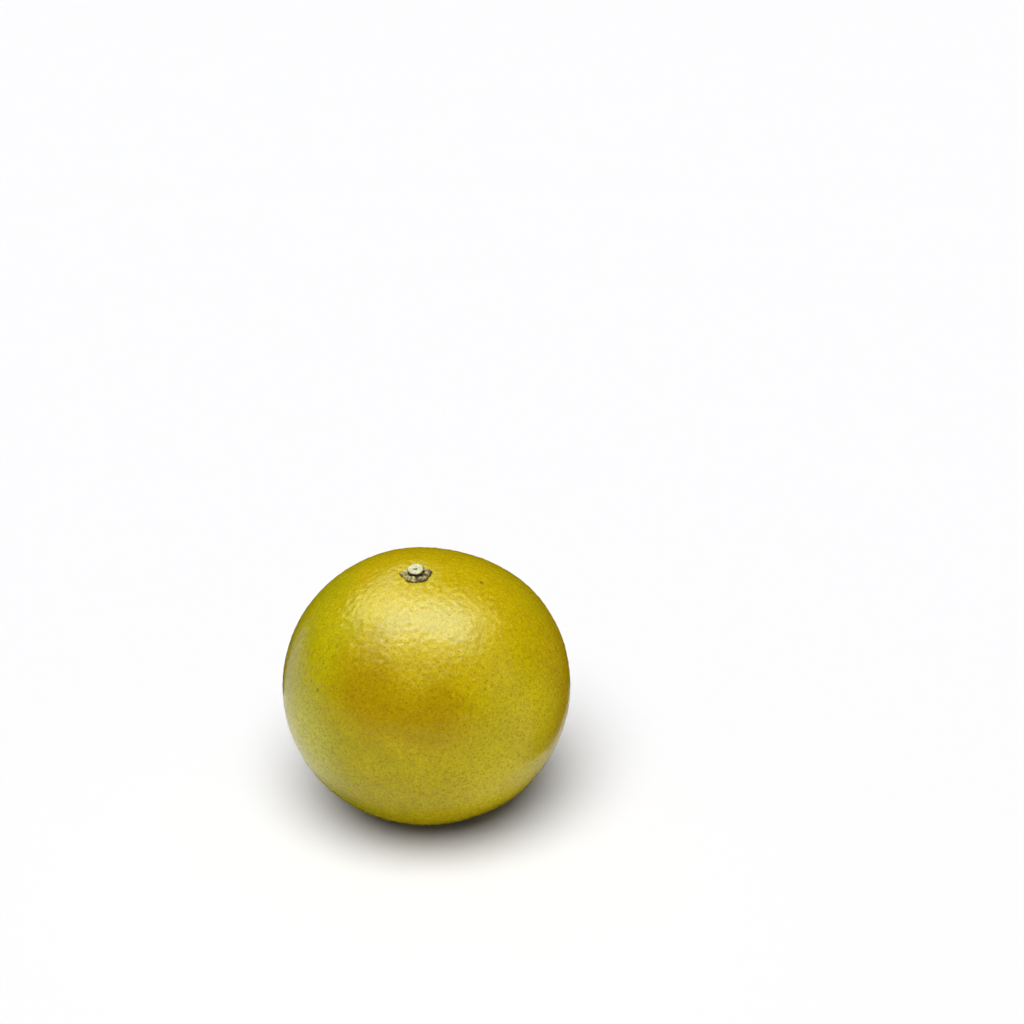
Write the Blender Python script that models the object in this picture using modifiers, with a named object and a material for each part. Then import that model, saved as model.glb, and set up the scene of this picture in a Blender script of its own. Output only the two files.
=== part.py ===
"""A whole orange, standing near its blossom end with the cut stem button on top.

Three solids, in metres, +Z up, standing on z = 0 below the middle of the fruit:
  fruit      the rind body, turned from a half outline, with a small pressed spot to rest on
  calyx      the five-lobed collar of dried sepals that lies on the rind around the stem
  stem_stub  the short cut stalk that stands in the middle of the collar
"""

import math

import bmesh
import bpy
from mathutils import Matrix, Vector

# Fruit
FRUIT_WIDTH = 0.0800
FRUIT_HEIGHT = 0.0757
STEM_DIMPLE_WIDTH = 0.0180
STEM_DIMPLE_DEPTH = 0.0006
BLOSSOM_DIMPLE_WIDTH = 0.0080
BLOSSOM_DIMPLE_DEPTH = 0.0003
REST_SPOT_DEPTH = 0.0008
LEAN_TO_FRONT = math.radians(10.0)
LEAN_TO_LEFT = math.radians(3.0)

# Stem stub
STUB_WIDTH = 0.0041
STUB_WAIST_WIDTH = 0.0036
STUB_HEIGHT_ABOVE_COLLAR = 0.0011
STUB_FACE_BAND = 0.0006
STUB_EDGE_ROUND = 0.0002
STUB_PIT_WIDTH = 0.0010
STUB_PIT_DEPTH = 0.0004

# Calyx
CALYX_WIDTH = 0.0088
CALYX_NOTCH_WIDTH = 0.0064
CALYX_THICKNESS = 0.0008
CALYX_TIP_THICKNESS = 0.0004
CALYX_LOBES = 5
CALYX_LOBE_SHARPNESS = 1.4
CALYX_TURN = math.radians(18.0)

# Fit between pieces that touch
SEAT_GAP = 0.0003

# Materials: colour and roughness of each piece
RIND_COLOUR = (0.46, 0.32, 0.02)
RIND_ROUGHNESS = 0.38
SEPAL_COLOUR = (0.30, 0.24, 0.09)
SEPAL_ROUGHNESS = 0.75
STALK_COLOUR = (0.62, 0.55, 0.30)
STALK_ROUGHNESS = 0.8

# Fineness of the surfaces
FRUIT_STEPS_AROUND = 64
FRUIT_STEPS_DOWN = 44
POLE_CROWDING = 0.5
STUB_STEPS_AROUND = 24
CALYX_STEPS_PER_LOBE = 12
CALYX_RINGS = 5
MERGE_DISTANCE = 0.00002
SHARP_EDGE = math.radians(40.0)


def clear_scene():
    for old in list(bpy.data.objects):
        bpy.data.objects.remove(old, do_unlink=True)


def new_collection(name):
    collection = bpy.data.collections.new(name)
    bpy.context.scene.collection.children.link(collection)
    return collection


def new_material(name, colour, roughness):
    material = bpy.data.materials.new(name)
    material.use_nodes = True
    shader = material.node_tree.nodes["Principled BSDF"]
    shader.inputs["Base Color"].default_value = (*colour, 1.0)
    shader.inputs["Roughness"].default_value = roughness
    shader.inputs["Metallic"].default_value = 0.0
    material.diffuse_color = (*colour, 1.0)
    return material


def dish(radius, width, depth):
    """How far a round dimple sinks the surface at a distance from its middle."""
    share = min(2.0 * radius / width, 1.0)
    return depth * 0.5 * (1.0 + math.cos(math.pi * share))


def fruit_outline():
    """The half outline from the stem end, down the outer side, to the blossom end."""
    outline = []
    for step in range(FRUIT_STEPS_DOWN + 1):
        share = step / FRUIT_STEPS_DOWN
        crowd = POLE_CROWDING * math.sin(2.0 * math.pi * share) / (2.0 * math.pi)
        angle = math.pi * (share - crowd)
        radius = 0.5 * FRUIT_WIDTH * math.sin(angle)
        height = 0.5 * FRUIT_HEIGHT * math.cos(angle)
        if height > 0.0:
            height -= dish(radius, STEM_DIMPLE_WIDTH, STEM_DIMPLE_DEPTH)
        else:
            height += dish(radius, BLOSSOM_DIMPLE_WIDTH, BLOSSOM_DIMPLE_DEPTH)
        outline.append((max(radius, 0.0), height))
    outline[0] = (0.0, outline[0][1])
    outline[-1] = (0.0, outline[-1][1])
    return outline


def rind_height(radius):
    """Height of the rind near the stem end, at a distance from the fruit's axis."""
    share = 2.0 * radius / FRUIT_WIDTH
    crown = 0.5 * FRUIT_HEIGHT * math.sqrt(1.0 - share * share)
    return crown - dish(radius, STEM_DIMPLE_WIDTH, STEM_DIMPLE_DEPTH)


def turned(name, outline, steps, collection, material):
    """A solid of revolution: the outline lies in the XZ plane and runs from top to bottom."""
    form = bmesh.new()
    points = [form.verts.new((radius, 0.0, height)) for radius, height in outline]
    for above, below in zip(points, points[1:]):
        form.edges.new((above, below))
    mesh = bpy.data.meshes.new(name)
    form.to_mesh(mesh)
    form.free()
    piece = bpy.data.objects.new(name, mesh)
    piece.data.materials.append(material)
    collection.objects.link(piece)
    screw = piece.modifiers.new("turn", "SCREW")
    screw.axis = "Z"
    screw.angle = 2.0 * math.pi
    screw.steps = steps
    screw.render_steps = steps
    screw.use_merge_vertices = True
    screw.merge_threshold = MERGE_DISTANCE
    screw.use_smooth_shade = True
    return piece


def lowest_point(outline, turn):
    """Lowest world height that the turned outline reaches once it leans."""
    up = turn.to_3x3().inverted() @ Vector((0.0, 0.0, 1.0))
    sideways = math.hypot(up.x, up.y)
    return min(height * up.z - radius * sideways for radius, height in outline)


def make_fruit(outline, collection, cutters, axis_empty):
    material = new_material("rind", RIND_COLOUR, RIND_ROUGHNESS)
    fruit = turned("fruit", outline, FRUIT_STEPS_AROUND, collection, material)
    fruit.parent = axis_empty
    bpy.ops.mesh.primitive_cube_add(size=2.0 * FRUIT_WIDTH, location=(0.0, 0.0, -FRUIT_WIDTH))
    ground = bpy.context.active_object
    ground.name = "ground_cutter"
    ground.hide_render = True
    ground.display_type = "WIRE"
    for home in list(ground.users_collection):
        home.objects.unlink(ground)
    cutters.objects.link(ground)
    cut = fruit.modifiers.new("rest_spot", "BOOLEAN")
    cut.operation = "DIFFERENCE"
    cut.solver = "EXACT"
    cut.object = ground
    return fruit


def make_stub(collection, axis_empty):
    """A stalk with a narrow waist inside the collar, widening to its cut face."""
    foot = rind_height(0.0) + SEAT_GAP
    waist_top = foot + CALYX_THICKNESS + SEAT_GAP
    face = waist_top + STUB_HEIGHT_ABOVE_COLLAR
    face_radius = 0.5 * STUB_WIDTH
    waist_radius = 0.5 * STUB_WAIST_WIDTH
    outline = [
        (0.0, face - STUB_PIT_DEPTH),
        (0.5 * STUB_PIT_WIDTH, face),
        (face_radius - STUB_EDGE_ROUND, face),
        (face_radius, face - STUB_EDGE_ROUND),
        (face_radius, face - STUB_FACE_BAND),
        (waist_radius, waist_top),
        (waist_radius, foot),
        (0.0, foot),
    ]
    material = new_material("cut_stalk", STALK_COLOUR, STALK_ROUGHNESS)
    stub = turned("stem_stub", outline, STUB_STEPS_AROUND, collection, material)
    stub.parent = axis_empty
    return stub


def lobe_reach(angle):
    """Distance from the axis to the collar's edge: five pointed lobes with notches between."""
    wave = 0.5 * (1.0 + math.cos(CALYX_LOBES * (angle - CALYX_TURN)))
    reach = CALYX_NOTCH_WIDTH + (CALYX_WIDTH - CALYX_NOTCH_WIDTH) * wave**CALYX_LOBE_SHARPNESS
    return 0.5 * reach


def make_calyx(collection, axis_empty):
    """An open star-shaped sheet laid over the rind, then thickened upwards."""
    inner = 0.5 * STUB_WAIST_WIDTH + SEAT_GAP
    form = bmesh.new()
    steps = CALYX_LOBES * CALYX_STEPS_PER_LOBE
    first = bmesh.ops.create_circle(form, cap_ends=False, radius=inner, segments=steps)
    ring = list(first["verts"])
    shares = {vert: 0.0 for vert in ring}
    edges = list(form.edges)
    for count in range(1, CALYX_RINGS + 1):
        grown = bmesh.ops.extrude_edge_only(form, edges=edges)["geom"]
        edges = [item for item in grown if isinstance(item, bmesh.types.BMEdge)]
        edges = [edge for edge in edges if all(vert not in shares for vert in edge.verts)]
        for vert in {vert for edge in edges for vert in edge.verts}:
            shares[vert] = count / CALYX_RINGS
    thin = CALYX_TIP_THICKNESS / CALYX_THICKNESS
    weights = {}
    form.verts.index_update()
    for vert, share in shares.items():
        angle = math.atan2(vert.co.y, vert.co.x)
        radius = inner + (lobe_reach(angle) - inner) * share
        height = rind_height(radius) + SEAT_GAP
        vert.co = (radius * math.cos(angle), radius * math.sin(angle), height)
        weights[vert.index] = 1.0 + (thin - 1.0) * share
    bmesh.ops.recalc_face_normals(form, faces=form.faces)
    if sum(face.normal.z for face in form.faces) < 0.0:
        bmesh.ops.reverse_faces(form, faces=form.faces)
    mesh = bpy.data.meshes.new("calyx")
    form.to_mesh(mesh)
    form.free()
    calyx = bpy.data.objects.new("calyx", mesh)
    calyx.data.materials.append(new_material("dried_sepal", SEPAL_COLOUR, SEPAL_ROUGHNESS))
    collection.objects.link(calyx)
    calyx.parent = axis_empty
    group = calyx.vertex_groups.new(name="thickness")
    for index, weight in weights.items():
        group.add([index], weight, "REPLACE")
    shell = calyx.modifiers.new("shell", "SOLIDIFY")
    shell.thickness = CALYX_THICKNESS
    shell.offset = 1.0
    shell.vertex_group = group.name
    mesh.shade_smooth()
    mesh.set_sharp_from_angle(angle=SHARP_EDGE)
    return calyx


def main():
    clear_scene()
    parts = new_collection("orange")
    cutters = new_collection("cutters")
    outline = fruit_outline()
    lean = Matrix.Rotation(LEAN_TO_FRONT, 4, "X") @ Matrix.Rotation(-LEAN_TO_LEFT, 4, "Y")
    axis_empty = bpy.data.objects.new("fruit_axis", None)
    axis_empty.empty_display_size = 0.5 * FRUIT_WIDTH
    parts.objects.link(axis_empty)
    axis_empty.rotation_euler = lean.to_euler()
    axis_empty.location = (0.0, 0.0, -lowest_point(outline, lean) - REST_SPOT_DEPTH)
    make_fruit(outline, parts, cutters, axis_empty)
    make_stub(parts, axis_empty)
    make_calyx(parts, axis_empty)


main()
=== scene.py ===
"""Looks of a whole orange: a pitted, waxy rind, the dried calyx on top of it and the cut stalk."""

import math

import bpy
import numpy as np
from mathutils import Matrix, Vector
from mathutils.kdtree import KDTree


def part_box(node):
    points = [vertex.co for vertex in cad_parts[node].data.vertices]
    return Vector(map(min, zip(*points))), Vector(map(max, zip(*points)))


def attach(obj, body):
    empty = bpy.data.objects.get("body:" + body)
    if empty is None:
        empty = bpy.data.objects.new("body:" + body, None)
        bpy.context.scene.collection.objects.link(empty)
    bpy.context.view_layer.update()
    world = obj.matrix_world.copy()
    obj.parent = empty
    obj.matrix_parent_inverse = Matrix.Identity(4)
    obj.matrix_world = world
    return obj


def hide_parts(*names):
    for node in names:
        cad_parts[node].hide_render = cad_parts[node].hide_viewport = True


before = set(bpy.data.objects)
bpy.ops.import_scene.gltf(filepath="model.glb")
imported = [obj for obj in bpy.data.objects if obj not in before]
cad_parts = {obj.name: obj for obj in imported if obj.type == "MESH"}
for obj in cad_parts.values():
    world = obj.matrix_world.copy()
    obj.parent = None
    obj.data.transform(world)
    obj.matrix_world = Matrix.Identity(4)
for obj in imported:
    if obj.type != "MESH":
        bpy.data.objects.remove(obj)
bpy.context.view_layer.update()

MM = 0.001
FULL_TURN = 2.0 * math.pi

# The fruit's own shape, in millimetres. Its own axis runs from the blossom end to the stem.
fruit_low, fruit_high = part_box("fruit")
GIRTH_RADIUS = 0.5 * (fruit_high.x - fruit_low.x) / MM
HEIGHT_TO_WIDTH = 0.9463
HALF_HEIGHT = HEIGHT_TO_WIDTH * GIRTH_RADIUS
STEM_DISH_RADIUS = 9.0
STEM_DISH_DEPTH = 0.6
BLOSSOM_DISH_RADIUS = 4.0
BLOSSOM_DISH_DEPTH = 0.3
REST_SPOT_DEPTH = 0.8
REST_EDGE_SOFTNESS = 0.15
LEAN_TO_FRONT = math.radians(10.0)
LEAN_TO_LEFT = math.radians(3.0)

# The rind's mesh: steps along each of its six bent squares, and the margin around an unfolded one
SIDE_STEPS = 128
UNFOLDED_MARGIN = 0.01

# Unevenness of the rind, in millimetres: how high each kind rises and how far apart its bumps lie
BROAD_LUMP = 0.06
BROAD_LUMP_LENGTH = 85.0
SWELL = 0.022
SWELL_LENGTH = 15.0
DIMPLE = 0.009
DIMPLE_LENGTH = 4.5
RIPPLE = 0.026
RIPPLE_LENGTH = 2.1
# Lumps and swells start at the first of these distances from the stem and are full at the second
CALM_RADII = (3.0, 14.0)
# Flats and bulges: the way each one faces in the fruit's own axes, its spread in radians, its height
LUMPS = (
    ((0.31, 0.62, 0.72), 0.42, -1.0),
    ((0.84, -0.32, -0.44), 0.50, 0.4),
    ((0.47, -0.56, -0.69), 0.35, 0.4),
    ((-0.75, 0.20, 0.50), 0.40, 0.2),
)
# Oil glands: their spacing, the share of it that they stray, their pits, the smallest one's size
GLAND_SPACING = 1.75
GLAND_SCATTER = 0.28
GLAND_RADIUS = 0.75
GLAND_DEPTH = 0.05
SMALLEST_GLAND = 0.45
# Furrows around the stem: how many each wave makes, their depth, and the ring that they fill
FURROW_COUNTS = (9, 13, 17, 22)
FURROW_DEPTH = 0.035
FURROW_RADIUS = 6.0
FURROW_REACH = 5.0

# Calyx, in millimetres. Its lobes' directions are in degrees, and its creases and its rim start at
# shares of the way to a notch and to the edge.
CALYX_AROUND = 260
CALYX_ACROSS = 26
COLLAR_HOLE = 2.0
LOBE_AIMS = (4.0, 90.0, 175.0, 236.0, 302.0)
LOBE_REACHES = (4.15, 4.1, 4.5, 4.1, 4.2)
NOTCH_REACH = 3.55
LOBE_TAPER = 1.3
RAGGED_EDGE = 0.05
RAGGED_COUNTS = (7, 13, 19, 27, 34)
COLLAR_THICKNESS = 0.75
LOBE_EDGE = 0.20
LOBE_BULGE = 0.38
LOBE_CREASE = 0.30
CREASE_START = 0.7
CREASE_STRETCH = 1.2
TIP_CURL = 0.45
RIM_START = 0.9
RIM_THINNESS = 0.35
SEPAL_ROUGHNESS = 0.10
SEPAL_ROUGHNESS_LENGTH = 1.3
SEPAL_UNDERSIDE = 0.12

# Stalk, in millimetres
STALK_AROUND = 120
STALK_RADIUS = 2.06
STALK_WAIST = 1.70
STALK_RISE = 2.25
STALK_FOOT = 0.2
STALK_SLEEVE = 0.8
STALK_SHIFT = 0.12
STALK_CUT_TILT = math.radians(2.0)
TILT_START = 1.0
# Where the waist widens: how far past the waist, and how far below the cut face
STALK_NECK = ((0.03, 1.0), (0.12, 0.80))
# The rounded rim: how far inside the widest radius, and how far below the cut face
STALK_RIM = ((0.14, 0.66), (0.02, 0.50), (0.0, 0.32), (0.03, 0.16), (0.12, 0.04), (0.26, 0.0))
FIBRE_HEIGHT = 0.016
FIBRE_COUNTS = (2, 3, 5, 9, 16, 23)
CUT_FACE_EDGE = 0.1
CUT_FACE_INSET = 0.38
CUT_FACE_HUB = 0.02
CUT_FACE_RINGS = 20
CUT_FACE_SINK = 0.06
CUT_ROUGHNESS = 0.04
CUT_ROUGHNESS_LENGTH = 0.7
PITH_DEPTH = 0.35
PITH_RADIUS = 0.33
PITH_SHIFT = 0.1
PITH_NARROWING = 0.45
# Depths below the cut face: the bark, partly painted shade, is full below the first and gives way to
# the pale rim above the second
BARK_AND_SHADE_TOP = 0.62
PALE_RIM = 0.30
# The waves round the calyx and the stalk start anywhere in about one turn, in radians
EDGE_WAVE_STARTS = 6.28


def rounded_step(value, low, high):
    """A soft step from 0 to 1 while a value goes from low to high."""
    share = np.clip((value - low) / (high - low), 0.0, 1.0)
    return share * share * (3.0 - 2.0 * share)


def dish(radius, reach, depth):
    """How far a round dish sinks the rind at a distance from the fruit's axis."""
    return depth * 0.5 * (1.0 + np.cos(np.pi * np.minimum(radius / reach, 1.0)))


def crown_height(radius):
    """Height of the rind around the stem above the fruit's middle."""
    crown = HALF_HEIGHT * np.sqrt(1.0 - (radius / GIRTH_RADIUS) ** 2)
    return crown - dish(radius, STEM_DISH_RADIUS, STEM_DISH_DEPTH)


def uneven(places, length, seed, waves=48):
    """A random field over places, of about unit size, whose bumps lie about a length apart."""
    chance = np.random.default_rng(seed)
    aims = chance.normal(size=(waves, 3))
    aims /= np.linalg.norm(aims, axis=1)[:, None]
    turns = places @ aims.T * (FULL_TURN / length) + chance.uniform(0.0, FULL_TURN, waves)
    return np.sin(turns).sum(axis=1) * math.sqrt(2.0 / waves)


def waves_around(turn, counts, seed, starts):
    """A sum of waves round the stem, one for each count, each with its own random start."""
    chance = np.random.default_rng(seed)
    return sum(np.cos(count * turn + chance.uniform(0.0, starts)) for count in counts)


def ball_of_squares(steps):
    """Unit directions, faces and unfolded places of a ball made of six bent squares."""
    x, y, z = np.eye(3)
    sides = ((x, y, z), (-x, -y, z), (y, -x, z), (-y, x, z), (z, x, y), (-z, y, x))
    bend = np.tan(np.linspace(-0.25 * np.pi, 0.25 * np.pi, steps + 1))
    across, along = np.meshgrid(bend, bend)
    count = steps + 1
    column, row = np.meshgrid(np.arange(steps), np.arange(steps))
    corner = (row * count + column).ravel()
    square = np.stack([corner, corner + 1, corner + count + 1, corner + count], axis=1)
    grid = np.stack(np.meshgrid(np.arange(count), np.arange(count)), axis=-1).reshape(-1, 2) / steps
    points, faces, unfolded = [], [], []
    for number, (out, right, up) in enumerate(sides):
        side = out + across[..., None] * right + along[..., None] * up
        points.append(side.reshape(-1, 3))
        faces.append(square + number * count * count)
        corner_cell = np.array([number % 3, number // 3]) + UNFOLDED_MARGIN
        cell = corner_cell + (1.0 - 2.0 * UNFOLDED_MARGIN) * grid
        unfolded.append(cell[square.ravel()] / (3.0, 2.0))
    points = np.concatenate(points)
    points /= np.linalg.norm(points, axis=1)[:, None]
    _, first, same = np.unique(np.round(points, 5), axis=0, return_index=True, return_inverse=True)
    return points[first], same.reshape(-1)[np.concatenate(faces)], np.concatenate(unfolded)


def gland_sites(spacing, seed):
    """Directions and sizes of the oil glands, spread evenly and then scattered a little."""
    chance = np.random.default_rng(seed)
    count = int(4.0 * np.pi * (GIRTH_RADIUS / spacing) ** 2)
    share = (np.arange(count) + 0.5) / count
    height = 1.0 - 2.0 * share
    ring = np.sqrt(1.0 - height * height)
    turn = np.pi * (3.0 - math.sqrt(5.0)) * np.arange(count)
    sites = np.stack([ring * np.cos(turn), ring * np.sin(turn), height], axis=1)
    sites += chance.normal(scale=GLAND_SCATTER * spacing / GIRTH_RADIUS, size=sites.shape)
    sites /= np.linalg.norm(sites, axis=1)[:, None]
    return sites, chance.uniform(SMALLEST_GLAND, 1.0, count)


def gland_pits(aims):
    """How deep each direction lies in an oil gland's pit, from 0 outside to 1 at its middle."""
    sites, sizes = gland_sites(GLAND_SPACING, seed=11)
    tree = KDTree(len(sites))
    for number, site in enumerate(sites):
        tree.insert(site, number)
    tree.balance()
    found = [tree.find(aim) for aim in aims]
    nearest = np.array([item[1] for item in found])
    away = np.array([item[2] for item in found]) * GIRTH_RADIUS
    share = np.clip(1.0 - (away / (GLAND_RADIUS * np.sqrt(sizes[nearest]))) ** 2, 0.0, 1.0)
    return share * share * sizes[nearest]


def furrows(places):
    """Shallow creases of the rind that run out from the stem."""
    turn = np.arctan2(places[:, 1], places[:, 0])
    radius = np.hypot(places[:, 0], places[:, 1])
    wave = waves_around(turn, FURROW_COUNTS, seed=5, starts=FULL_TURN)
    fade = np.exp(-(((radius - FURROW_RADIUS) / FURROW_REACH) ** 2)) * (places[:, 2] > 0.0)
    return FURROW_DEPTH * wave * fade / math.sqrt(len(FURROW_COUNTS))


def lumps(aims, smooth):
    """The fruit's broad unevenness and its few flats and bulges."""
    lift = BROAD_LUMP * uneven(smooth, BROAD_LUMP_LENGTH, seed=1)
    for aim, spread, height in LUMPS:
        middle = np.array(aim) / np.linalg.norm(aim)
        bend = np.arccos(np.clip(aims @ middle, -1.0, 1.0)) / spread
        lift += height * np.exp(-bend * bend)
    return lift


def rind_places(aims):
    """Places on the rind in the fruit's own axes, smooth ones and the final uneven ones."""
    smooth = aims * (GIRTH_RADIUS, GIRTH_RADIUS, HALF_HEIGHT)
    outward = aims / (GIRTH_RADIUS, GIRTH_RADIUS, HALF_HEIGHT)
    outward /= np.linalg.norm(outward, axis=1)[:, None]
    radius = np.hypot(smooth[:, 0], smooth[:, 1])
    sunk = np.where(smooth[:, 2] > 0.0, dish(radius, STEM_DISH_RADIUS, STEM_DISH_DEPTH), 0.0)
    sunk -= np.where(smooth[:, 2] < 0.0, dish(radius, BLOSSOM_DISH_RADIUS, BLOSSOM_DISH_DEPTH), 0.0)
    smooth[:, 2] -= sunk
    calm = np.where(smooth[:, 2] > 0.0, rounded_step(radius, *CALM_RADII), 1.0)
    lift = lumps(aims, smooth) * calm
    lift += SWELL * uneven(smooth, SWELL_LENGTH, seed=2) * calm
    lift += DIMPLE * uneven(smooth, DIMPLE_LENGTH, seed=3)
    lift += RIPPLE * uneven(smooth, RIPPLE_LENGTH, seed=4)
    lift += furrows(smooth)
    lift -= GLAND_DEPTH * gland_pits(aims)
    return smooth, smooth + outward * lift[:, None]


# How the leaning fruit stands: its middle above the ground, and the turn of its own axes
tilt = math.acos(math.cos(LEAN_TO_FRONT) * math.cos(LEAN_TO_LEFT))
support = math.hypot(HALF_HEIGHT * math.cos(tilt), GIRTH_RADIUS * math.sin(tilt))
MIDDLE = Vector((0.0, 0.0, (support - REST_SPOT_DEPTH) * MM))
LEAN = Matrix.Rotation(LEAN_TO_FRONT, 3, "X") @ Matrix.Rotation(-LEAN_TO_LEFT, 3, "Y")


def stand(places):
    """Places in the fruit's own axes and millimetres, put where the leaning fruit stands."""
    return places @ np.array(LEAN).T * MM + np.array(MIDDLE)


def made_object(name, places, faces, own, node, marks=None, unfolded=None):
    """A smooth-shaded piece that stands for a solid, with its own-axes places as an attribute."""
    mesh = bpy.data.meshes.new(name)
    mesh.from_pydata(places.tolist(), [], faces)
    mesh.update()
    mesh.shade_smooth()
    place = mesh.attributes.new("own_place", "FLOAT_VECTOR", "POINT")
    place.data.foreach_set("vector", own.astype(np.float32).ravel())
    for mark, values in (marks or {}).items():
        layer = mesh.attributes.new(mark, "FLOAT", "POINT")
        layer.data.foreach_set("value", values.astype(np.float32))
    if unfolded is not None:
        layer = mesh.uv_layers.new(name="OFBake")
        layer.data.foreach_set("uv", unfolded.astype(np.float32).ravel())
    piece = bpy.data.objects.new(name, mesh)
    bpy.context.scene.collection.objects.link(piece)
    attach(piece, "root")
    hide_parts(node)
    return piece


def make_rind():
    """The uneven rind, pressed flat with a soft edge where the fruit rests."""
    aims, faces, unfolded = ball_of_squares(SIDE_STEPS)
    smooth, uneven_places = rind_places(aims)
    places = stand(uneven_places)
    soft = REST_EDGE_SOFTNESS * MM
    places[:, 2] = 0.5 * (places[:, 2] + np.sqrt(places[:, 2] ** 2 + soft * soft))
    return made_object("rind", places, faces.tolist(), smooth, "fruit", unfolded=unfolded)


def flat_rings(radius, turn):
    """Rings of points around the fruit's axis at height 0: one ring for each row of radii."""
    return np.stack([radius * np.cos(turn), radius * np.sin(turn), 0.0 * radius], axis=-1)


def ring_faces(rings, around):
    """Faces between closed rings of points, each ring joined to the next one."""
    row, column = np.meshgrid(np.arange(rings - 1), np.arange(around), indexing="ij")
    after = (column + 1) % around
    square = [row * around + column, (row + 1) * around + column]
    square += [(row + 1) * around + after, row * around + after]
    return np.stack([side.ravel() for side in square], axis=1)


def lobe_shares(turn):
    """For each direction, its lobe's reach, and a share from 0 at the lobe's middle to 1 at a notch."""
    aims = np.radians(LOBE_AIMS)
    apart = (turn[:, None] - aims[None, :] + np.pi) % FULL_TURN - np.pi
    nearest = np.abs(apart).argmin(axis=1)
    offset = apart[np.arange(len(turn)), nearest]
    ahead = (np.roll(aims, -1) - aims) % FULL_TURN
    behind = (aims - np.roll(aims, 1)) % FULL_TURN
    span = 0.5 * np.where(offset > 0.0, ahead[nearest], behind[nearest])
    return np.array(LOBE_REACHES)[nearest], np.clip(np.abs(offset) / span, 0.0, 1.0)


def sepal_heights(flat, radius, out, share):
    """Heights of the sepals' top and underside. Out goes from 0 at the stalk to 1 at the edge."""
    ground = crown_height(radius)
    curl = TIP_CURL * out**3 * ((1.0 - share) ** 1.5)[None, :]
    bulge = LOBE_BULGE * np.sin(np.pi * out**0.8) * (1.0 - share**2)[None, :]
    crease = LOBE_CREASE * rounded_step(share, CREASE_START, 1.0)[None, :]
    crease = crease * np.sin(np.pi * np.minimum(out * CREASE_STRETCH, 1.0))
    thick = LOBE_EDGE + (COLLAR_THICKNESS - LOBE_EDGE) * (1.0 - out) ** 0.8
    rim = np.sqrt(1.0 - np.clip((out - RIM_START) / (1.0 - RIM_START), 0.0, 1.0) ** 2)
    rough = uneven(flat.reshape(-1, 3), SEPAL_ROUGHNESS_LENGTH, seed=8).reshape(radius.shape)
    body = thick + bulge - crease + SEPAL_ROUGHNESS * rough
    top = ground + curl + body * (RIM_THINNESS + (1.0 - RIM_THINNESS) * rim)
    return top, ground + curl - SEPAL_UNDERSIDE


def make_calyx():
    """Five fleshy, dried lobes round the stalk: a top and an under sheet joined at both edges."""
    turn = np.arange(CALYX_AROUND) * FULL_TURN / CALYX_AROUND
    tip, share = lobe_shares(turn)
    ragged = RAGGED_EDGE * waves_around(turn, RAGGED_COUNTS, seed=21, starts=EDGE_WAVE_STARTS)
    reach = NOTCH_REACH + (tip - NOTCH_REACH) * (1.0 - share) ** LOBE_TAPER + ragged
    out = np.linspace(0.0, 1.0, CALYX_ACROSS)[:, None]
    radius = COLLAR_HOLE + (reach - COLLAR_HOLE)[None, :] * out
    flat = flat_rings(radius, turn)
    top, under = sepal_heights(flat, radius, out, share)
    upper = np.stack([flat[..., 0], flat[..., 1], top], axis=-1)
    lower = np.stack([flat[..., 0], flat[..., 1], under], axis=-1)[::-1]
    own = np.concatenate([upper, lower]).reshape(-1, 3)
    last_ring = (2 * CALYX_ACROSS - 1) * CALYX_AROUND
    seam = ring_faces(2, CALYX_AROUND)
    seam = np.where(seam >= CALYX_AROUND, seam - CALYX_AROUND, seam + last_ring)
    faces = np.concatenate([ring_faces(2 * CALYX_ACROSS, CALYX_AROUND), seam])
    edge = np.broadcast_to(out, radius.shape)
    notch = np.broadcast_to(share[None, :], radius.shape)
    marks = {
        "edge": np.concatenate([edge, edge[::-1]]).ravel(),
        "notch": np.concatenate([notch, notch]).ravel(),
    }
    return made_object("sepals", stand(own), faces.tolist(), own, "calyx", marks)


def stalk_outline(foot, face):
    """Radii and heights of the stalk's rings, from its foot up its side and in over the cut face."""
    outline = [(STALK_WAIST, foot), (STALK_WAIST, foot + STALK_SLEEVE)]
    outline += [(STALK_WAIST + flare, face - drop) for flare, drop in STALK_NECK]
    outline += [(STALK_RADIUS - inset, face - drop) for inset, drop in STALK_RIM]
    inward = np.linspace(STALK_RADIUS - CUT_FACE_INSET, CUT_FACE_HUB, CUT_FACE_RINGS)
    outline += [(radius, face - CUT_FACE_SINK) for radius in inward]
    radii, heights = np.array(outline).T
    return radii[:, None], heights[:, None]


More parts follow.
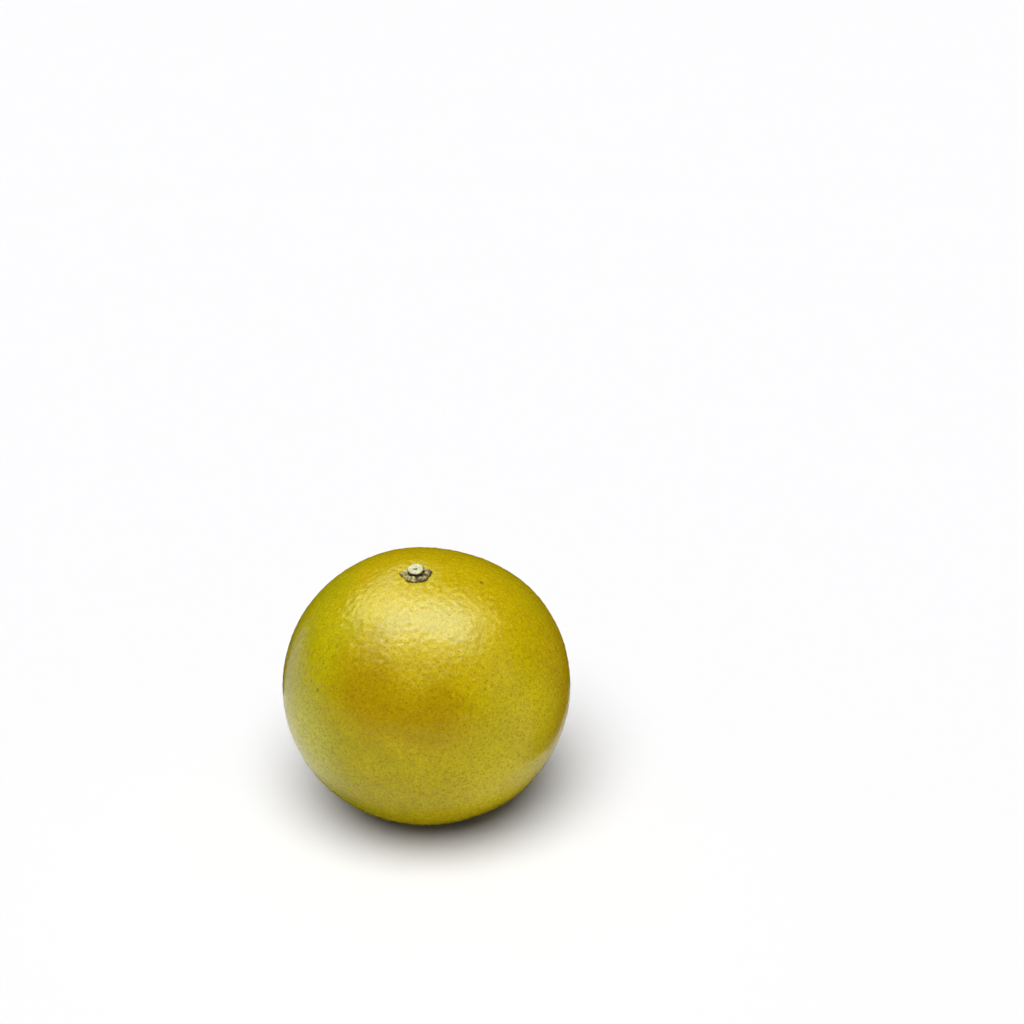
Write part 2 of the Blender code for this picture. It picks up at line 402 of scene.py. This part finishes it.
def make_stalk():
    """A short stalk, narrow inside the collar, with fibres down its side and a tilted cut face."""
    turn = np.arange(STALK_AROUND) * FULL_TURN / STALK_AROUND
    foot = float(crown_height(0.0)) - STALK_FOOT
    face = float(crown_height(0.0)) + STALK_RISE
    radius, height = stalk_outline(foot, face)
    rings = len(radius)
    fibre = FIBRE_HEIGHT * waves_around(turn, FIBRE_COUNTS, seed=33, starts=EDGE_WAVE_STARTS)
    radius = radius * (1.0 + fibre[None, :])
    flat = flat_rings(radius, turn)
    inside = height > face - CUT_FACE_EDGE
    rough = uneven(flat.reshape(-1, 3), CUT_ROUGHNESS_LENGTH, seed=14).reshape(radius.shape)
    off_pith = np.hypot((flat[..., 0] + PITH_SHIFT) * PITH_NARROWING, flat[..., 1] + PITH_SHIFT)
    pith = np.exp(-((off_pith / PITH_RADIUS) ** 2))
    level = height + np.where(inside, CUT_ROUGHNESS * rough - PITH_DEPTH * pith, 0.0)
    lean = rounded_step(height - foot, TILT_START, STALK_RISE)
    level = level + lean * np.tan(STALK_CUT_TILT) * flat[..., 1]
    own = np.stack([flat[..., 0] - STALK_SHIFT, flat[..., 1], level], axis=-1).reshape(-1, 3)
    hub = len(own)
    caps = [[-STALK_SHIFT, 0.0, float(level[-1].mean())], [-STALK_SHIFT, 0.0, foot]]
    own = np.concatenate([own, caps])
    first = np.arange(STALK_AROUND)
    last = (rings - 1) * STALK_AROUND + first
    cut_cap = np.stack([last, np.roll(last, -1), np.full(STALK_AROUND, hub)], axis=1)
    foot_cap = np.stack([np.roll(first, -1), first, np.full(STALK_AROUND, hub + 1)], axis=1)
    faces = ring_faces(rings, STALK_AROUND)[:, ::-1].tolist() + cut_cap.tolist() + foot_cap.tolist()
    pale = rounded_step(height, face - BARK_AND_SHADE_TOP, face - PALE_RIM)
    marks = {
        "cut": np.concatenate([np.broadcast_to(pale, radius.shape).ravel(), [1.0, 0.0]]),
        "pith": np.concatenate([(pith * inside).ravel(), [1.0, 0.0]]),
    }
    return made_object("stalk", stand(own), faces, own, "stem_stub", marks)


# Colours of the rind
GOLD = (0.440, 0.350, 0.0012)
STEM_GOLD = (0.485, 0.355, 0.0015)
# Gold of the right side, lightened as painted light
SIDE_GOLD_AND_PAINTED_LIGHT = (0.505, 0.340, 0.0008)
LEAF_GREEN = (0.310, 0.278, 0.0012)
STEM_GREEN = (0.395, 0.350, 0.002)
# Amber of the rind's middle band, partly painted shade
AMBER_AND_SHADE = (0.325, 0.218, 0.0008)
# Painted shade of the underside, near the floor
UNDERSIDE_PAINTED_SHADE = (0.19, 0.135, 0.001)
HALO_YELLOW = (0.52, 0.44, 0.03)
GLAND_BROWN = (0.27, 0.142, 0.0002)
SCAR_BROWN = (0.09, 0.055, 0.004)
# Colours of the calyx
TAN_FLESH = (0.48, 0.40, 0.13)
OLIVE_FLESH = (0.28, 0.26, 0.08)
CREAM_FLESH = (0.58, 0.49, 0.21)
# Brown of the calyx's crust, also used as painted shade next to the stalk
CRUST_AND_SHADE_BROWN = (0.070, 0.044, 0.016)
# Colours of the stalk
CHALK = (0.64, 0.62, 0.42)
DULL_CHALK = (0.48, 0.46, 0.27)
CHALK_SPECKLE = (0.30, 0.27, 0.15)
PITH_BROWN = (0.030, 0.024, 0.012)
# Bark of the stalk's side, darkened as painted shade under the cut face
DARK_BARK_AND_SHADE = (0.05, 0.038, 0.022)
PALE_BARK_AND_SHADE = (0.17, 0.13, 0.075)

# Patches that make up the rind's amber band, an amber colour that is partly painted shade: middle in
# the fruit's own axes, reach, share
AMBER_AND_SHADE_PATCHES = (
    ((-19.5, -27.1, 20.0), 19.0, 0.66),
    ((-5.5, -33.2, 19.5), 20.0, 0.72),
    ((7.2, -35.0, 16.5), 17.0, 0.66),
    ((-12.2, -20.2, 30.5), 17.0, 0.50),
    ((11.7, -22.1, 29.5), 14.0, 0.30),
)
# Patches of painted light and painted reflection of the bright floor on the rind's lower front and
# left: middle, reach, share, colour
PAINTED_LIGHT_PATCHES = (
    ((19.4, -33.9, -8.2), 20.0, 1.00, (0.58, 0.470, 0.003)),
    ((29.8, -25.3, 7.8), 14.0, 0.85, (0.56, 0.440, 0.002)),
    ((-34.0, -20.0, -1.0), 23.0, 0.90, (0.52, 0.485, 0.060)),
)
# Small dark scars: place in the fruit's own axes, radius, darkness
SCARS = (
    ((17.0, -1.3, 34.2), 0.55, 0.8),
    ((-4.1, -12.2, 35.8), 0.30, 0.5),
    ((8.1, -14.7, 34.3), 0.30, 0.5),
    ((-27.5, -21.6, 18.4), 0.45, 0.7),
)
# Paler rind around the calyx, in millimetres: its radius and how far it fades out
HALO_RADIUS = 3.8
HALO_FADE = 5.0
# Spacing of the rind's specks, dust and pores, and how high each piece's fine grain stands
GLAND_CELL = 1.0
DUST_CELL = 0.62
PORE_CELL = 1.7
PORE_HEIGHT = 0.075
SEPAL_GRAIN_HEIGHT = 0.12
STALK_GRAIN_HEIGHT = 0.08
# Spots where the calyx is most crusted: direction and share, then their common reach and radius
CRUST_SPOTS = ((math.radians(-78.0), 1.0), (math.radians(2.0), 0.95), (math.radians(-40.0), 0.35))
CRUST_SPOT_REACH = 3.7
CRUST_SPOT_LIFT = 0.4
CRUST_SPOT_RADIUS = 0.4
CRUST_SPOT_FADE = 1.2


class Wire:
    """A socket of a material's nodes. Arithmetic on wires adds Math nodes."""

    def __init__(self, tree, socket=None):
        self.tree = tree
        self.socket = socket

    def node(self, kind, settings=None, sockets=None, result=0):
        """Adds a node, its settings first and then its sockets, and gives one of its results."""
        made = self.tree.nodes.new(kind)
        for name, value in (settings or {}).items():
            setattr(made, name, value)
        for name, value in (sockets or {}).items():
            if isinstance(value, Wire):
                self.tree.links.new(value.socket, made.inputs[name])
            else:
                made.inputs[name].default_value = value
        return Wire(self.tree, made.outputs[result])

    def math(self, operation, *values):
        return self.node("ShaderNodeMath", {"operation": operation}, dict(enumerate(values)))

    def __add__(self, other):
        return self.math("ADD", self, other)

    __radd__ = __add__

    def __mul__(self, other):
        return self.math("MULTIPLY", self, other)

    __rmul__ = __mul__

    def __sub__(self, other):
        return self.math("SUBTRACT", self, other)

    def __rsub__(self, other):
        return self.math("SUBTRACT", other, self)

    def __truediv__(self, other):
        return self.math("DIVIDE", self, other)

    def __rtruediv__(self, other):
        return self.math("DIVIDE", other, self)

    def step(self, low, high, first=0.0, last=1.0):
        """A soft step from first to last while this value goes from low to high."""
        settings = {"interpolation_type": "SMOOTHSTEP", "clamp": True}
        sockets = {0: self, 1: low, 2: high, 3: first, 4: last}
        return self.node("ShaderNodeMapRange", settings, sockets)

    def blend(self, first, last):
        """The colour first where this value is 0 and last where it is 1."""
        settings = {"data_type": "RGBA", "clamp_factor": True}
        first, last = [tone if isinstance(tone, Wire) else (*tone, 1.0) for tone in (first, last)]
        return self.node("ShaderNodeMix", settings, {0: self, 6: first, 7: last}, result=2)


class Finish(Wire):
    """A material under construction, with the patterns that all three pieces use."""

    def __init__(self, name):
        self.material = bpy.data.materials.new(name)
        self.material.use_nodes = True
        super().__init__(self.material.node_tree)
        self.shader = self.tree.nodes["Principled BSDF"]
        self.place = self.mark("own_place", "Vector")

    def mark(self, name, result="Fac"):
        """A value that the mesh holds at each of its points."""
        return self.node("ShaderNodeAttribute", {"attribute_name": name}, result=result)

    def along(self, axis):
        """The place along one of the fruit's own axes, in millimetres."""
        return self.node("ShaderNodeSeparateXYZ", None, {0: self.place}, axis)

    def noise(self, length, detail, roughness, shift):
        """Cloudy noise from 0 to 1 whose clouds are about a length in millimetres across.

        Detail and roughness make the smaller clouds in it, and a shift sets it apart from other noise.
        """
        sockets = {"Vector": self.place, "W": shift, "Scale": 1.0 / length}
        sockets.update({"Detail": detail, "Roughness": roughness})
        return self.node("ShaderNodeTexNoise", {"noise_dimensions": "4D"}, sockets)

    def spots(self, length):
        """Distance in cells to the nearest of many scattered points, a length apart."""
        sockets = {"Vector": self.place, "Scale": 1.0 / length, "Randomness": 1.0}
        return self.node("ShaderNodeTexVoronoi", None, sockets, "Distance")

    def near(self, point, radius, softness):
        """1 within a radius of a point of the fruit, fading to 0 over the softness."""
        sockets = {0: self.place, 1: point}
        away = self.node("ShaderNodeVectorMath", {"operation": "DISTANCE"}, sockets, "Value")
        return away.step(radius, radius + softness, 1.0, 0.0)

    def shaded(self, tone, shade):
        """A colour made lighter or darker all over by a factor."""
        sockets = {0: tone, "Scale": shade}
        return self.node("ShaderNodeVectorMath", {"operation": "SCALE"}, sockets)

    def bump(self, height, distance):
        """The surface's direction once a height from 0 to 1 lifts it by up to a distance."""
        return self.node("ShaderNodeBump", None, {"Height": height, "Distance": distance * MM})

    def set(self, **sockets):
        """Sets the shader's sockets, named with _ for each space."""
        for name, value in sockets.items():
            socket = self.shader.inputs[name.replace("_", " ")]
            if isinstance(value, Wire):
                self.tree.links.new(value.socket, socket)
            else:
                socket.default_value = value


def rind_zones(rind, drift, high):
    """The rind's broad colours: gold with a green side and an amber band that is partly painted shade,
    painted light on the right side and lower front, and painted shade on the underside.
    """
    across = rind.along("X") / GIRTH_RADIUS
    cloud = rind.noise(6.0, 3.0, 0.6, 4.1) - 0.5
    green = ((0.0 - across) + drift * 1.2 + cloud * 0.6).step(0.08, 0.72)
    # The amber band, partly painted shade of the fruit's middle
    amber_and_shade = drift * 0.8 + cloud * 0.8
    for middle, reach, share in AMBER_AND_SHADE_PATCHES:
        amber_and_shade = amber_and_shade + rind.near(middle, 0.0, reach) * share
    gold = high.step(0.50, 0.95).blend(GOLD, STEM_GOLD)
    leaf = high.step(0.30, 0.75).blend(LEAF_GREEN, STEM_GREEN)
    base = green.blend(gold, leaf)
    base = amber_and_shade.step(0.02, 1.0).blend(base, AMBER_AND_SHADE)
    # The right side, lightened as painted light
    side = (across + drift * 0.3).step(0.70, 1.0) * 0.95
    base = side.blend(base, SIDE_GOLD_AND_PAINTED_LIGHT)
    # Patches of painted light and painted reflection of the bright floor
    for middle, reach, share, tone in PAINTED_LIGHT_PATCHES:
        base = (rind.near(middle, 0.2 * reach, 0.8 * reach) * share).blend(base, tone)
    # Painted shade, darker towards the bottom
    base = (high.step(-0.37, -0.78) * 0.9).blend(base, UNDERSIDE_PAINTED_SHADE)
    ring = rind.near((0.0, 0.0, HALF_HEIGHT), HALO_RADIUS, HALO_FADE)
    halo = ring * rind.noise(1.6, 2.0, 0.6, 7.7).step(0.35, 0.65)
    return (halo * 0.45).blend(base, HALO_YELLOW)


def rind_finish():
    """Waxy, pitted rind in its broad colours, with a dark speck in most oil glands and some scars."""
    rind = Finish("waxy_rind")
    drift = rind.noise(26.0, 2.0, 0.5, 1.7) - 0.5
    high = rind.along("Z") / HALF_HEIGHT + drift * 0.4
    base = rind_zones(rind, drift, high)
    glands = rind.spots(GLAND_CELL)
    faint = rind.noise(1.6, 2.0, 0.5, 2.2).step(0.34, 0.60, 0.35, 1.0)
    speck = glands.step(0.04, 0.52, 1.0, 0.0) * faint * high.step(0.60, 0.92, 1.0, 0.45)
    dust = rind.spots(DUST_CELL).step(0.05, 0.50, 1.0, 0.0)
    fleck = rind.noise(0.38, 1.0, 0.5, 5.5).step(0.48, 0.66)
    grain = rind.noise(0.75, 2.0, 0.65, 9.3).step(0.40, 0.64)
    shade = fleck * 0.20 - grain * 0.10 - dust * 0.16 - speck * 0.15 + 0.975
    base = (speck * 0.50 + dust * 0.22).blend(base, GLAND_BROWN)
    base = rind.shaded(base, shade)
    for point, radius, share in SCARS:
        base = (rind.near(point, 0.4 * radius, radius) * share).blend(base, SCAR_BROWN)
    wax = rind.noise(4.0, 2.0, 0.5, 12.0).step(0.3, 0.7, 0.19, 0.24)
    rind.set(Base_Color=base, Roughness=wax - speck * 0.05, Specular_IOR_Level=0.17)
    pores = rind.spots(PORE_CELL).step(0.0, 0.75)
    wrinkles = rind.noise(0.9, 2.0, 0.6, 3.3)
    lift = pores * 0.45 + glands.step(0.0, 0.6) * 0.20 + wrinkles
    rind.set(Normal=rind.bump(lift, PORE_HEIGHT))
    return rind.material


def sepal_finish():
    """Dried sepals: tan and olive flesh under a dark brown crust that gathers at the edges, with
    painted shade next to the stalk.
    """
    sepal = Finish("dried_sepal")
    edge = sepal.mark("edge")
    notch = sepal.mark("notch")
    base = sepal.noise(0.9, 3.0, 0.6, 1.0).step(0.35, 0.65).blend(TAN_FLESH, OLIVE_FLESH)
    base = sepal.noise(0.45, 2.0, 0.5, 2.6).step(0.55, 0.68).blend(base, CREAM_FLESH)
    # The last term darkens the sepals next to the stalk as painted shade
    crust_and_shade = edge.step(0.78, 1.0) * 0.75 + notch.step(0.70, 1.0) * 0.5 + edge.step(0.30, 0.05)
    crust_and_shade = crust_and_shade + sepal.noise(0.75, 3.0, 0.6, 5.0).step(0.47, 0.62) * 0.90
    height = float(crown_height(CRUST_SPOT_REACH)) + CRUST_SPOT_LIFT
    for turn, share in CRUST_SPOTS:
        spot = (CRUST_SPOT_REACH * math.cos(turn), CRUST_SPOT_REACH * math.sin(turn), height)
        crust_and_shade = crust_and_shade + sepal.near(spot, CRUST_SPOT_RADIUS, CRUST_SPOT_FADE) * share
    base = crust_and_shade.blend(base, CRUST_AND_SHADE_BROWN)
    sepal.set(Base_Color=base, Roughness=0.8, Specular_IOR_Level=0.25)
    grain = sepal.noise(0.35, 3.0, 0.7, 8.0)
    sepal.set(Normal=sepal.bump(grain, SEPAL_GRAIN_HEIGHT))
    return sepal.material


def stalk_finish():
    """A cut stalk: a chalky, speckled face with a pale rim, and dark bark down its side, darkened as
    painted shade under the cut face.
    """
    stalk = Finish("cut_stalk")
    face = stalk.noise(0.6, 3.0, 0.6, 1.0).step(0.35, 0.65).blend(CHALK, DULL_CHALK)
    face = stalk.noise(0.26, 2.0, 0.6, 4.0).step(0.56, 0.68).blend(face, CHALK_SPECKLE)
    face = stalk.mark("pith").step(0.22, 0.60).blend(face, PITH_BROWN)
    # Bark darkened as painted shade under the cut face
    bark_and_shade = stalk.noise(0.5, 3.0, 0.6, 7.0).step(0.4, 0.7).blend(DARK_BARK_AND_SHADE, PALE_BARK_AND_SHADE)
    base = stalk.mark("cut").step(0.3, 0.7).blend(bark_and_shade, face)
    stalk.set(Base_Color=base, Roughness=0.85, Specular_IOR_Level=0.2)
    grain = stalk.noise(0.22, 3.0, 0.7, 2.0)
    stalk.set(Normal=stalk.bump(grain, STALK_GRAIN_HEIGHT))
    return stalk.material


# Floor, light and camera, in metres
FLOOR_SIZE = 40.0
FLOOR_TONE = (0.80, 0.80, 0.81)
SEEN_WORLD = (1.0, 1.0, 1.0)
UNSEEN_WORLD = (0.01, 0.01, 0.01)
# Skies that light the fruit and the floor: name, the side they shine from, strength, spread
SKIES = (
    ("soft_sky", (-0.08, -0.42, 1.0), 3.77, math.radians(53.0)),
    ("fill_sky", (-0.20, -0.50, 1.0), 0.45, math.radians(150.0)),
)
# Boxes of light that only the shine shows: name, place, width, depth, radiance, tint
SHINE_BOXES = (
    ("wide_box", (0.00, -0.03, 1.00), 2.00, 1.04, 6.0, (0.86, 1.0, 0.60)),
    ("bright_box", (0.00, -0.06, 0.96), 1.04, 0.46, 12.4, (0.44, 0.74, 1.00)),
    ("side_box", (0.90, -0.40, 0.38), 0.60, 0.55, 0.9, (0.90, 1.0, 1.0)),
    ("back_box", (-0.50, 0.56, 1.00), 1.00, 0.60, 4.6, (0.90, 1.0, 0.60)),
)
BOX_TURN = math.radians(-8.0)
# Dark cards beside and behind the fruit that only the shine shows, painted dark reflections that stand
# in for shade at the rind's right and top rims: name, lower corner, way to the next corner, height
# Tone of the cards: painted shade
PAINTED_SHADE_TONE = (0.16, 0.11, 0.002)
CARD_GAP = 0.0005
PAINTED_SHADE_CARDS = (
    ("right_card", (0.052, -0.030), (0.050, 0.300), 0.085),
    ("back_card", (-0.080, 0.058), (0.260, 0.0), 0.095),
)
# Rings of the card under the fruit, a painted shadow seen in the rind's shine: radius, and how far it
# has faded to the floor's tone
FOOT_CARD = ((0.001, 0.0), (0.031, 0.02), (0.036, 0.25), (0.041, 0.65), (0.047, 1.0))
FOOT_CARD_AROUND = 64
# Where the fruit's middle is seen, right of and above the picture's middle, in picture widths
PICTURE_SHARES = (-0.0830, -0.1666)
CAMERA_LENS = 50.0
CAMERA_SENSOR = 36.0
CAMERA_HEIGHT_ANGLE = math.radians(30.0)
CAMERA_DISTANCE = 5.03 * 2.0 * GIRTH_RADIUS * MM


def make_sheet(name, points, faces):
    """A flat sheet of the stage, with a material of its own, and that material's dull shader."""
    mesh = bpy.data.meshes.new(name)
    mesh.from_pydata(points, [], faces)
    sheet = bpy.data.objects.new(name, mesh)
    bpy.context.scene.collection.objects.link(sheet)
    material = bpy.data.materials.new(name)
    material.use_nodes = True
    mesh.materials.append(material)
    shader = material.node_tree.nodes["Principled BSDF"]
    shader.inputs["Specular IOR Level"].default_value = 0.0
    return sheet, shader


def make_floor():
    """The plain pale floor."""
    half = 0.5 * FLOOR_SIZE
    corners = [(-half, -half, 0.0), (half, -half, 0.0), (half, half, 0.0), (-half, half, 0.0)]
    floor, shader = make_sheet("floor", corners, [(0, 1, 2, 3)])
    shader.inputs["Base Color"].default_value = (*FLOOR_TONE, 1.0)
    shader.inputs["Roughness"].default_value = 0.9


def make_lamp(name, kind, place, energy, **settings):
    """A lamp at a place, turned to the fruit's middle."""
    data = bpy.data.lights.new(name, kind)
    data.energy = energy
    lamp = bpy.data.objects.new(name, data)
    for key, value in settings.items():
        setattr(lamp if key.startswith("visible") else data, key, value)
    lamp.location = place
    lamp.rotation_euler = (MIDDLE - Vector(place)).to_track_quat("-Z", "Y").to_euler()
    bpy.context.scene.collection.objects.link(lamp)
    return lamp


def make_card(name, points, faces, fades):
    """A dark card of painted shade that only the shine of the rind shows, fading to the floor's tone.
    """
    card, shader = make_sheet(name, points, faces)
    layer = card.data.attributes.new("fade", "FLOAT", "POINT")
    layer.data.foreach_set("value", fades)
    wires = Wire(shader.id_data)
    fade = wires.node("ShaderNodeAttribute", {"attribute_name": "fade"}, result="Fac")
    tone = fade.blend(PAINTED_SHADE_TONE, FLOOR_TONE)
    wires.tree.links.new(tone.socket, shader.inputs["Base Color"])
    for ray in ("camera", "diffuse", "transmission", "shadow"):
        setattr(card, "visible_" + ray, False)


def make_light():
    """Soft skies that give the shading, and boxes of light above that give the shine."""
    for name, side, strength, spread in SKIES:
        make_lamp(name, "SUN", side, strength, angle=spread, visible_glossy=False)
    for name, place, width, depth, radiance, tint in SHINE_BOXES:
        watts = radiance * math.pi * width * depth
        sides = {"shape": "RECTANGLE", "size": width, "size_y": depth, "color": tint}
        box = make_lamp(name, "AREA", place, watts, **sides)
        box.rotation_euler.rotate(Matrix.Rotation(BOX_TURN, 3, "Z"))
        box.visible_diffuse = False
        box.visible_camera = False


def make_cards():
    """Dark cards of painted shade beside and behind the fruit, and a painted shadow under it, that only
    the rind's shine shows.
    """
    for name, (x, y), (right, back), height in PAINTED_SHADE_CARDS:
        foot = [(x, y, CARD_GAP), (x + right, y + back, CARD_GAP)]
        corners = foot + [(far, deep, height) for far, deep, _ in reversed(foot)]
        make_card(name, corners, [(0, 1, 2, 3)], [0.0] * len(corners))
    points, fades = [], []
    for radius, fade in FOOT_CARD:
        for turn in np.linspace(0.0, FULL_TURN, FOOT_CARD_AROUND, endpoint=False):
            points.append((radius * math.cos(turn), radius * math.sin(turn), CARD_GAP))
            fades.append(fade)
    faces = ring_faces(len(FOOT_CARD), FOOT_CARD_AROUND).tolist()
    make_card("foot_shadow_card", points, faces, fades)


def make_world():
    """A world that is white where it is seen and nearly dark as a light."""
    world = bpy.data.worlds.new("studio")
    bpy.context.scene.world = world
    world.use_nodes = True
    wires = Wire(world.node_tree)
    seen = wires.node("ShaderNodeLightPath", result="Is Camera Ray")
    tone = seen.blend(UNSEEN_WORLD, SEEN_WORLD)
    wires.tree.links.new(tone.socket, wires.tree.nodes["Background"].inputs["Color"])


def make_camera():
    """A camera that looks down at the fruit from the front."""
    data = bpy.data.cameras.new("camera")
    data.lens = CAMERA_LENS
    data.sensor_width = CAMERA_SENSOR
    data.clip_start = 0.01
    data.clip_end = 100.0
    camera = bpy.data.objects.new("camera", data)
    bpy.context.scene.collection.objects.link(camera)
    back = Vector((0.0, -math.cos(CAMERA_HEIGHT_ANGLE), math.sin(CAMERA_HEIGHT_ANGLE)))
    camera.location = MIDDLE + back * CAMERA_DISTANCE
    reach = CAMERA_LENS / CAMERA_SENSOR
    right, up = PICTURE_SHARES
    length = math.sqrt(right * right + up * up + reach * reach)
    dip = math.asin(math.sin(CAMERA_HEIGHT_ANGLE) * length / math.hypot(up, reach))
    dip += math.atan(up / reach)
    swing = math.atan2(right, reach * math.cos(dip) + up * math.sin(dip))
    camera.rotation_euler = (0.5 * math.pi - dip, 0.0, swing)
    bpy.context.scene.camera = camera


make_rind().data.materials.append(rind_finish())
make_calyx().data.materials.append(sepal_finish())
make_stalk().data.materials.append(stalk_finish())
make_floor()
make_light()
make_cards()
make_world()
make_camera()
bpy.context.scene.view_settings.view_transform = "Standard"
